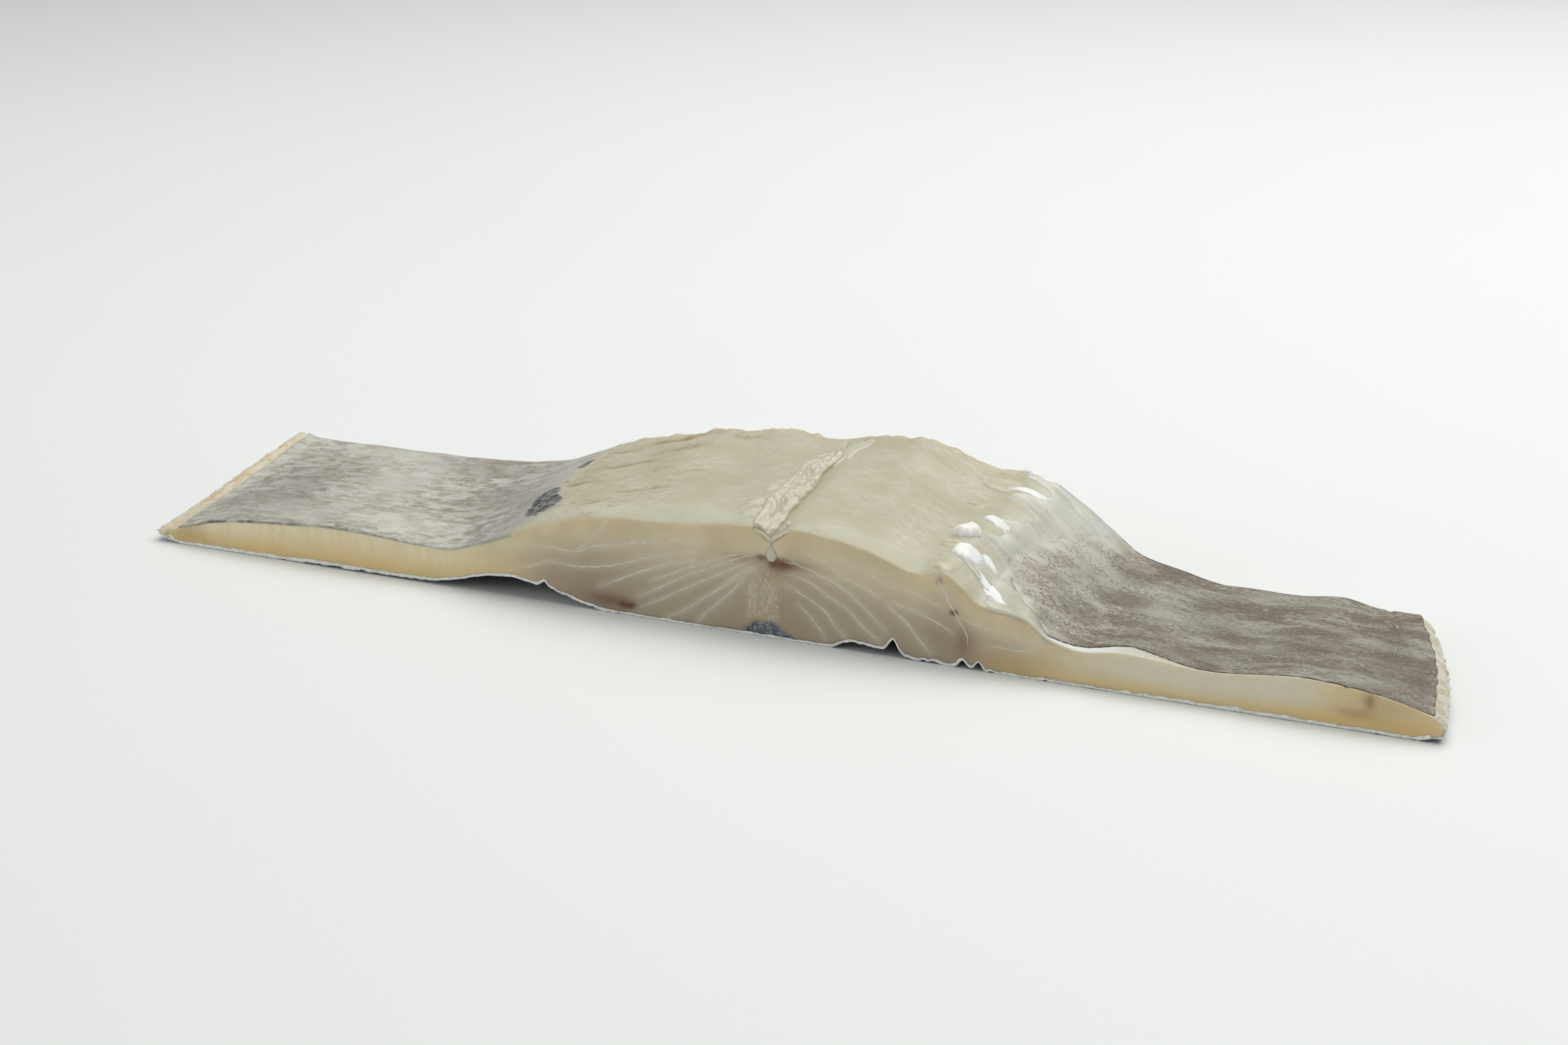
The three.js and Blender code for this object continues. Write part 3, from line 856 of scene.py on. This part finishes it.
# Marks on the linings: strength, station, back, half length, half depth
LEFT_DARK = [
    (1, -214, 44, 16, 24), (0.6, -146, 76, 14, 8), (0.5, -124, 44, 12, 26), (0.7, -106, 26, 7, 18),
]
LEFT_PALE = [
    (1, -174, 58, 17, 28), (1, -198, 88, 26, 7), (0.8, -240, 54, 5, 40), (1, -150, 14, 18, 10),
    (0.6, -194, 14, 26, 9),
]
LEFT_BLACK = [
    (2.2, -93, 17, 5.5, 8), (2, -97, 31, 4, 7), (1.6, -92, 44, 3, 3), (1.8, -95, 68, 3.5, 6),
]
RIGHT_DARK = [
    (1, 91, 5, 4, 6), (1, 101, 26, 5, 8), (1, 101, 72, 7, 12), (1, 141, 11, 15, 7), (1, 137, 65, 9, 9),
    (0.8, 145, 43, 11, 6), (1, 182, 34, 11, 15), (1, 203, 34, 7, 22), (1, 213, 20, 5, 15),
    (1, 206, 66, 4, 10),
]
RIGHT_PALE = [
    (1, 92, 40, 5, 14), (1, 121, 48, 8, 16), (1, 96, 60, 6, 7), (1, 164, 83, 22, 7),
    (0.7, 112, 66, 6, 8), (0.7, 165, 26, 9, 8), (0.8, 196, 9, 10, 5), (0.5, 160, 44, 9, 5),
]


def marks(at, back, places):
    return np.clip(spots(at, back, places), 0, 1)


cod_lining_left, at, back, share = lining("cod_lining_left", LEFT_LINING_INNER, left_edge, no_tear)
from_edge = LEFT_LINING_INNER(share) - at
notches = ramp(rough_noise(at / 3, 0.5, 55), 0.05, 0.4) * hump(at, -215, 22)
set_values(
    cod_lining_left, inner=ramp(-from_edge, -34, -4), fade=ramp(-from_edge, -9, 0),
    dark=marks(at, back, LEFT_DARK), pale=marks(at, back, LEFT_PALE), black=marks(at, back, LEFT_BLACK),
    notch=np.exp(-back / 0.8) * notches,
)
cod_lining_right, at, back, share = lining("cod_lining_right", right_start, right_edge, ragged_tear)
from_edge = at - RIGHT_LINING_INNER(share)
torn_front = np.exp(-(back - RIGHT_LINING_TEAR(at)) / 0.7)
torn_back = 0.9 * ramp(share, 0.975, 1) * ramp(at, 170, 120)
set_values(
    cod_lining_right, inner=ramp(from_edge, 24, 0), outer=ramp(at, 100, 122),
    fade=ramp(from_edge + 6 * rough_noise(at / 7, back / 3.5, 57), 10, 0),
    dark=marks(at, back, RIGHT_DARK), pale=marks(at, back, RIGHT_PALE),
    edge=np.maximum(torn_front, torn_back),
)


def lining_material_left():
    f = Finish("lining_left", 0.5, subsurface=0.1)
    blotches = f.noise(4.2, (0.55, 1, 1), detail=5, roughness=0.66, distortion=0.5)
    clouds = f.noise(26, (0.6, 1, 1))
    base = f.mix(f.between(blotches, 0.36, 0.62), (138, 132, 119), (200, 198, 186))
    base = f.paint(base, f.between(clouds, 0.46, 0.64), (138, 131, 120), 0.5)
    pale = f.between(f.noise(1.3, (0.5, 1, 1), detail=4, roughness=0.7), 0.5, 0.66)
    base = f.paint(base, pale, (214, 213, 204), 0.45)
    fine = f.between(f.noise(0.6, (0.6, 1, 1), detail=4, roughness=0.7), 0.54, 0.66)
    base = f.paint(base, fine, (108, 100, 92), 0.4)
    base = f.coats(
        base, ("inner", (176, 174, 162), 0.65), ("dark", (124, 118, 108), 0.5),
        ("pale", (212, 210, 198), 0.55), ("fade", (188, 183, 160)))
    ragged_black = f.times(f.value("black"), f.noise(3.4, detail=6, roughness=0.7))
    inky = f.mix(f.between(f.noise(2.4, detail=5), 0.42, 0.58), (50, 50, 52), (132, 131, 127))
    base = f.coats(base, (f.between(ragged_black, 0.26, 0.36), inky), ("notch", (70, 62, 56), 0.8))
    return f.finish(base, f.bump(f.noise(1, (0.6, 1, 1), detail=4), 0.2))


def lining_material_right():
    f = Finish("lining_right", 0.5, subsurface=0.08)
    strokes = f.noise(1.1, (0.45, 1, 1), detail=5, roughness=0.72, distortion=0.3)
    clouds = f.noise(11, (0.4, 1, 1), detail=5, roughness=0.65, distortion=0.5)
    base = f.mix(f.between(strokes, 0.38, 0.62), (106, 94, 74), (174, 168, 149))
    base = f.paint(base, f.between(clouds, 0.5, 0.57), (94, 80, 57), 0.74)
    base = f.paint(base, f.between(clouds, 0.47, 0.4), (184, 181, 169), 0.7)
    base = f.coats(
        base, ("pale", (196, 194, 184), 0.6), ("inner", (205, 199, 184), 0.7),
        ("outer", (100, 94, 82), 0.3), ("dark", (87, 74, 55), 0.6))
    speckle = f.between(f.noise(1, (0.8, 1, 1), detail=5, roughness=0.75), 0.52, 0.58)
    clusters = f.between(f.noise(6, (0.5, 1, 1), detail=4), 0.36, 0.6)
    specks = f.times(speckle, clusters)
    base = f.coats(base, (specks, (66, 54, 44), 0.75), ("fade", (206, 203, 190), 0.85))
    glints = f.between(f.noise(0.8, (0.6, 1, 1), detail=4, roughness=0.75), 0.57, 0.66)
    torn = f.times(f.value("edge"), f.between(f.noise(2.5), 0.35, 0.6))
    base = f.coats(base, (glints, (214, 213, 204), 0.4), (torn, (76, 68, 62)))
    return f.finish(base, f.bump(f.noise(0.7, (0.5, 1, 1), detail=4), 0.2))


dress(cod_lining_left, lining_material_left(), "lining", "lining_left")
dress(cod_lining_right, lining_material_right(), "lining", "lining_right")


# ---- backbone ridge
def ridge_place(along, side, level):
    share = lerp(RIDGE_START_SHARE, RIDGE_END_SHARE, along)
    across = 2 * side - 1
    centre = lerp(-3.5, -1, share) + 0.8 * np.sin(19 * share)
    narrowing = lerp(1, 0.72, share) * np.sqrt(np.sin(np.pi * lerp(0.12, 0.97, along)))
    ragged = 1 + 0.24 * noise(along * 15, across * 1.5, 61) + 0.08 * noise(along * 38, across * 2, 64)
    station = centre - RIDGE_HALF_WIDTH * narrowing * across * ragged
    bottom = top_surface(station, share) - RIDGE_BED
    lumpy = ramp(-across, -0.15, 0.35) + 0.8 * ramp(along, 0.16, 0.06)
    frills = 0.1 * noise(along * 34, across * 4, 63) + 0.05 * noise(along * 70, across * 7, 67)
    curls = 0.24 * noise(along * 13 + across, across * 1.6, 62) + frills
    plateau = 0.86 + 0.1 * noise(along * 6, across * 2.5, 65) + 0.05 * noise(along * 12, across * 9, 66)
    plateau = plateau + 0.6 * frills
    body = lerp(plateau, 0.72 + curls, np.clip(lumpy, 0, 1))
    crest = RIDGE_HEIGHT * narrowing * body * (1 - across**4) ** 0.5
    x, y = plan_point(station, share)
    return x, y, bottom + level * (RIDGE_BED + 0.1 + crest)


ridge_along, ridge_side = np.meshgrid(np.linspace(0, 1, 241), np.linspace(0, 1, 41), indexing="ij")
cod_ridge = grid_body(
    "cod_backbone_ridge", ridge_along, ridge_side, 2, ridge_place, hidden="bottom")[0]


def ridge_material():
    f = Finish("backbone_tissue", 0.3, subsurface=0.4, coat=0.5)
    base = f.mix(f.between(f.noise(3, detail=4), 0.35, 0.65), (194, 184, 156), (207, 200, 178))
    base = f.paint(base, f.between(f.noise(1.4), 0.5, 0.7), (190, 170, 140), 0.3)
    return f.finish(base, f.bump(f.noise(0.9, detail=5, roughness=0.65), 0.2))


dress(cod_ridge, ridge_material(), "membrane", "backbone_ridge")


# ---- septa, the lines between flakes on both cuts
def tapered(count, low, high):
    """A row of values that thins from 1 towards both of its ends."""
    along = np.linspace(0, 1, count)
    return ramp(np.minimum(along, 1 - along), low, high)


def septum(points, share):
    """A thin pale line between two flakes, on the front cut, or on the back cut if share is 1."""
    line = even_curve(points, 0.6)
    station, height = line.T
    taper = tapered(len(line), -0.02, 0.22)
    wander = 0.25 * noise(station / 3, height / 3, 71)
    front_top = FRONT_TOP(station)
    height = np.minimum(height + wander, front_top - 0.4) * solid_top(station, share) / front_top
    relief = cut_relief(station, height) if share == 0 else -back_relief(station, height)
    x, y = plan_point(station, share)
    path = to_frame(x, y + relief, height)
    facing = (0, 2 * share - 1, 0)
    return sweep(path, SEPTUM_HALF_WIDTH * taper, SEPTUM_PROUD * taper, facing)


def membrane_material():
    f = Finish("septum_membrane", 0.35)
    base = f.mix(f.between(f.noise(3, detail=2), 0.4, 0.6), (212, 203, 178), (226, 220, 199))
    return f.finish(base, f.bump(f.noise(0.5), 0.03))


def strand(points, half_width, proud):
    """A thread of membrane on the front cut, given by stations and heights."""
    line = even_curve(points, 0.3)
    station, height = line.T
    taper = tapered(len(line), -0.05, 0.15)
    path = to_frame(station, np.minimum(cut_relief(station, height), 0.5) - 0.3 * proud, height)
    return sweep(path, half_width * taper, proud * taper, (0, -1, 0))


CANAL_STRANDS = [  # points, half width, proud
    ([(0.1, 31.8), (-0.1, 33.2), (-1.7, 34.9), (-4.1, 36.3), (-6.8, 37)], 0.6, 0.45),
    ([(0.1, 32.2), (0.5, 33.6), (2.4, 35.2), (5.1, 36.9), (7, 37.6)], 0.5, 0.45),
    ([(-3, 24.6), (-2.6, 21), (-4.2, 17), (-4.6, 12), (-3.4, 8)], 0.14, 0.12),
    ([(3.6, 19.4), (4.4, 15), (3.4, 11.4), (2.6, 9)], 0.16, 0.12),
    ([(-8, 15), (-9, 11), (-8.2, 6.4)], 0.14, 0.12),
    ([(-0.9, 9.4), (-0.4, 7.4), (-0.8, 5.6)], 0.3, 0.2),
]
COLUMN_CELLS = 20
DROP_HALF_WIDTH = 1.75
DROP_PROUD = 0.85


def drop():
    """The pale drop in the canal, widest below its middle."""
    line = even_curve([(0.1, 32.8), (0, 29.6), (0.1, 26.3)], 0.2)
    station, height = line.T
    girth = 0.12 + np.sqrt(np.clip(np.sin(np.pi * np.linspace(0, 1, len(line)) ** 1.7), 0, 1))
    path = to_frame(station, 0.6, height)
    return sweep(path, DROP_HALF_WIDTH * girth, DROP_PROUD * girth, (0, -1, 0), sides=12)


def column_strands():
    """Wandering rings of thin membrane round the bubbles in the column."""
    draw = np.random.default_rng(5)
    strands = []
    while len(strands) < COLUMN_CELLS:
        station, height = draw.uniform(-10, 4), draw.uniform(6, 25)
        if column(station, height) < 0.7:
            continue
        width, length = draw.uniform(0.5, 1.3), draw.uniform(0.8, 2.2)
        angles = draw.uniform(0, 6) + np.linspace(0, draw.uniform(2.5, 4.5), 7)
        wobble = 1 + 0.25 * np.sin(3 * angles + draw.uniform(0, 6))
        points = np.stack([station + width * wobble * np.cos(angles),
                           height + length * wobble * np.sin(angles)], -1)
        strands.append(strand(points, draw.uniform(0.05, 0.1), 0.06))
    return strands


lines = [septum(points, share) for points in SEPTA for share in (0, 1)]
septa = join("cod_septa", lines + column_strands())
dress(septa, membrane_material(), "membrane")


# ---- loose tissue on the shoulder and beside the ridge
# Each shred: station, back, length, width, height, heading in degrees, fringe, flatness, feather
WHITE_LUMPS = [
    (57, 31.5, 9.5, 9, 2.9, 10, 0.1, 4, 0), (62, 45.5, 11, 6, 1.2, -15, 0.16, 5, 0.6),
    (63, 17.5, 10, 9, 1.6, 20, 0.22, 5, 0.5), (68.5, 21, 7, 5, 1.2, -30, 0.14, 3, 0),
    (75, 8.5, 18, 5, 0.7, -38, 0.2, 5, 0.6), (63, 77, 15, 5, 0.9, 4, 0.25, 6, 0.7),
    (61, 91, 12, 4, 0.8, 0, 0.25, 5, 0.5),
]
AMBER_TISSUE = [
    (54, 80, 17, 11, 0.5, -5, 0.16, 10, 0.8), (55, 61, 15, 9, 0.45, 5, 0.18, 10, 0.8),
    (55, 22, 8, 9, 0.7, 30, 0.14, 5, 0.5), (51, 70, 12, 7, 0.35, 10, 0.2, 10, 0.8),
    (60, 5, 8, 9, 0.5, 60, 0.14, 6, 0.5),
]
RIDGE_TISSUE = [
    (-3, 5, 10, 5, 1.8, 30, 0.2, 3, 0), (3.5, 4.5, 6, 4, 1.2, 60, 0.2, 3, 0),
    (-8, 9, 14, 8, 0.45, 30, 0.35, 8, 0.8), (-9, 21, 20, 8, 0.45, 58, 0.35, 8, 0.8),
    (-8, 41, 24, 8, 0.45, 74, 0.3, 8, 0.8), (-4, 66, 28, 9, 0.5, 84, 0.25, 8, 0.6),
    (3.5, 77, 30, 9, 0.5, 84, 0.3, 8, 0.5),
]
SHRED_SUNK = 0.3
SHRED_ROOT = 0.5


def shred(at, behind, length, width, height, heading, fringe, flatness, feather, seed):
    """A lump or film of tissue on the flesh, with a ragged outline, that thins out ahead by feather."""
    spokes, rings = 72, 16
    angle = np.arange(spokes) * 2 * np.pi / spokes
    outline = 1 + fringe * (noise(angle * 2.2, seed, 81) + 0.6 * noise(angle * 4, seed, 82))
    outline = outline * (1 - ramp(angle, 5.8, 6.28) * (1 - 1 / outline * outline[0]))
    radius = np.linspace(0, 1, rings + 1)[1:, None]
    turn = math.radians(heading)

    def on_surface(reach, rise):
        a = reach * outline * np.cos(angle) * length / 2
        b = reach * outline * np.sin(angle) * width / 2
        station = at + a * math.cos(turn) - b * math.sin(turn)
        back = behind + a * math.sin(turn) + b * math.cos(turn)
        share = np.clip(back / depth_at(station), 0, 1)
        x, y = plan_point(station, share)
        swell = 1 + 0.2 * noise(station / 3.6, back / 3.6, seed + 83)
        thinning = 1 - feather * ramp(2 * a / length, -0.5, 0.9)
        z = top_surface(station, share) - SHRED_SUNK + rise * swell * np.where(rise > 0, thinning, 1)
        return to_frame(x, y, z)

    crown = on_surface(radius, (height + SHRED_SUNK) * (1 - radius**flatness)).reshape(-1, 3)
    base = on_surface(radius[:-1], -SHRED_ROOT).reshape(-1, 3)
    centres = [on_surface(np.array(0.0), rise)[:1] for rise in (height + SHRED_SUNK, -SHRED_ROOT)]
    points = np.concatenate([crown, base, *centres])
    reach = np.concatenate([np.repeat(radius, spokes), np.repeat(radius[:-1], spokes), [0, 0]])
    base_start, top_point = rings * spokes, (2 * rings - 1) * spokes
    crown_rings = [[ring * spokes + k for k in range(spokes)] for ring in range(rings)]
    base_rings = [[base_start + ring * spokes + k for k in range(spokes)] for ring in range(rings - 1)]
    faces = []
    for circles, middle in ((crown_rings, top_point), (base_rings + crown_rings[-1:], top_point + 1)):
        for k in range(spokes):
            after = (k + 1) % spokes
            faces.append([middle, circles[0][k], circles[0][after]])
            faces += [[a[k], b[k], b[after], a[after]] for a, b in zip(circles, circles[1:])]
    return points, faces, reach


def tissue_material(name, light, dark, edge):
    f = Finish(name, 0.4, subsurface=0.4, coat=0.15)
    base = f.mix(f.between(f.noise(3, (0.5, 1, 1), detail=4), 0.4, 0.65), light, dark)
    base = f.paint(base, "rim", edge, 0.8)
    return f.finish(base, f.bump(f.noise(1.6, (0.4, 1, 1)), 0.12))


def tissue(name, values, first_seed, others=()):
    """One piece from shreds and from other bodies, which come first and have no rim."""
    bodies = [shred(*value, first_seed + k) for k, value in enumerate(values)]
    piece = join(name, [*others, *(body[:2] for body in bodies)])
    plain = [np.zeros(len(points)) for points, _ in others]
    reach = np.concatenate(plain + [body[2] for body in bodies])
    set_values(piece, rim=ramp(reach, 0.8, 0.97))
    return piece


FILM_START = curve_through([  # share, station where the film begins
    [0, 76], [0.09, 73], [0.15, 61], [0.22, 67], [0.3, 70], [0.36, 61], [0.44, 66], [0.5, 58], [0.57, 66],
    [0.67, 69], [0.76, 56], [0.8, 59], [0.86, 68], [0.92, 66], [0.96, 57], [1, 60],
])


FILM_BED = 0.35
FILM_THICKNESS = 0.4
FILM_LIP = 0.5
FILM_PAST_LINING = 9


def film_start(share):
    return FILM_START(share) + 1.6 * rough_noise(share * 30, 0.5, 91)


def film_end(share):
    return RIGHT_LINING_INNER(share) + FILM_PAST_LINING


def film_place(station, share, level):
    """A translucent film in slanting folds, thickest along its ragged start."""
    x, back = plan_point(station, share)
    along = station - film_start(share)
    slanting = back + 0.4 * station
    folds = 0.3 * noise(station / 14, slanting / 2.6, 92) + 0.14 * noise(station / 6, slanting / 1.2, 93)
    lip = FILM_LIP * hump(along, 1.5, 3) * (0.6 + 0.7 * noise(0.5, share * 16, 94))
    to_lining = station - RIGHT_LINING_INNER(share) - 2.2 * rough_noise(share * 26, station / 9, 95)
    fading = ramp(to_lining, 0, -8)
    bed = top_surface(station, share) - FILM_BED
    thin = FILM_THICKNESS - 0.35 * ramp(to_lining, 1.5, 4.5)
    rise = thin + (np.maximum(folds, -0.05) + np.maximum(lip, 0)) * fading * ramp(along, 0, 1)
    return x, back, bed + level * rise


cod_film, at, back, share = lining("cod_tissue", film_start, film_end, no_tear, film_place)
set_values(
    cod_film,
    lip=hump(at, film_start(share), 5) * np.clip(0.6 + 0.8 * noise(0.5, share * 16, 94), 0, 1),
    # Painted highlight: the film is paler on the crests of its folds, from the same noise as the fold
    # relief.
    streak=ramp(noise(at / 14, (back + 0.4 * at) / 2.6, 92), 0, 0.7),
    far=ramp(back, 56, 86), dull=spot(at, back, 84, 20, 6, 17),
)


def film_material():
    f = Finish("white_film", 0.36, subsurface=0.4, coat=0.2)
    base = f.mix(f.between(f.noise(2.5, detail=4), 0.35, 0.65), (185, 178, 155), (198, 193, 173))
    # The paler streaks on the fold crests are painted highlight.
    base = f.coats(
        base, ("streak", (212, 208, 190), 0.6), ("far", (226, 224, 211), 0.4),
        ("dull", (172, 161, 136), 0.6), ("lip", (221, 218, 202)))
    return f.finish(base, f.bump(f.noise(1.4, (0.5, 1, 1), detail=4), 0.12))


dress(cod_film, film_material(), "membrane", "flesh")
lumps = tissue("cod_white_lumps", WHITE_LUMPS, 60)
lump_material = tissue_material("white_lump", (252, 250, 243), (246, 243, 232), (242, 239, 226))
dress(lumps, lump_material, "membrane", "flesh")

amber_film = tissue("cod_amber_film", AMBER_TISSUE, 20)
amber_material = tissue_material("amber_film", (192, 183, 152), (206, 199, 174), (222, 217, 199))
dress(amber_film, amber_material, "flesh", "flesh")

strands = [drop()] + [strand(*values) for values in CANAL_STRANDS]
ridge_shreds = tissue("cod_ridge_shreds", RIDGE_TISSUE, 40, strands)
shred_material = tissue_material("ridge_shred", (208, 203, 183), (198, 191, 168), (224, 220, 205))
dress(ridge_shreds, shred_material, "membrane", "backbone_ridge")


# ---- floor, camera and lights
def floor_material():
    f = Finish("pale_floor", 0.6)
    base = f.mix(f.noise(400, detail=1), (233, 235, 232), (236, 238, 235))
    return f.finish(base)


floor_corners = np.array([(-6, -4, 0), (6, -4, 0), (6, 12, 0), (-6, 12, 0)], float)
floor = add_mesh("floor", floor_corners, [[0, 1, 2, 3]])
floor.data.materials.append(floor_material())

CAMERA_PLACE = (0.38166, -0.79882, 0.29505)
CAMERA_PITCH = 17
CAMERA_YAW = 25.48
IMAGE_WIDTH = 2352
FOCAL_PIXELS = 4000

camera_data = bpy.data.cameras.new("camera")
camera_data.lens = FOCAL_PIXELS * camera_data.sensor_width / IMAGE_WIDTH
camera_data.clip_start = 0.01
camera = bpy.data.objects.new("camera", camera_data)
camera.location = CAMERA_PLACE
camera.rotation_euler = (math.radians(90 - CAMERA_PITCH), 0, math.radians(CAMERA_YAW))
bpy.context.scene.collection.objects.link(camera)
bpy.context.scene.camera = camera


def soft_light(name, place, aim, size, power):
    data = bpy.data.lights.new(name, "AREA")
    data.shape = "RECTANGLE"
    data.size, data.size_y = size
    data.energy = power
    lamp = bpy.data.objects.new(name, data)
    lamp.location = place
    direction = np.array(aim, float) - np.array(place, float)
    yaw = math.atan2(-direction[0], direction[1])
    pitch = math.atan2(direction[2], math.hypot(direction[0], direction[1]))
    lamp.rotation_euler = (math.pi / 2 + pitch, 0, yaw)
    bpy.context.scene.collection.objects.link(lamp)


soft_light("overhead", (0.4, 0.78, 1.9), (0.1, 0.45, 0), (2.8, 2.3), 48.5)
soft_light("front_fill", (-1.5, -1.4, 0.8), (-0.15, 0, 0), (1.2, 0.8), 6.5)
soft_light("far_floor", (0, 2.2, 1.3), (0, 2.2, 0), (5, 1.2), 8)

SURROUND_COLOUR = (0.98, 1, 0.99, 1)
SURROUND_BRIGHTNESS = 0.29

world = bpy.data.worlds.new("studio")
world.use_nodes = True
background = world.node_tree.nodes["Background"]
background.inputs["Color"].default_value = SURROUND_COLOUR
background.inputs["Strength"].default_value = SURROUND_BRIGHTNESS
bpy.context.scene.world = world
bpy.context.scene.view_settings.view_transform = "Standard"
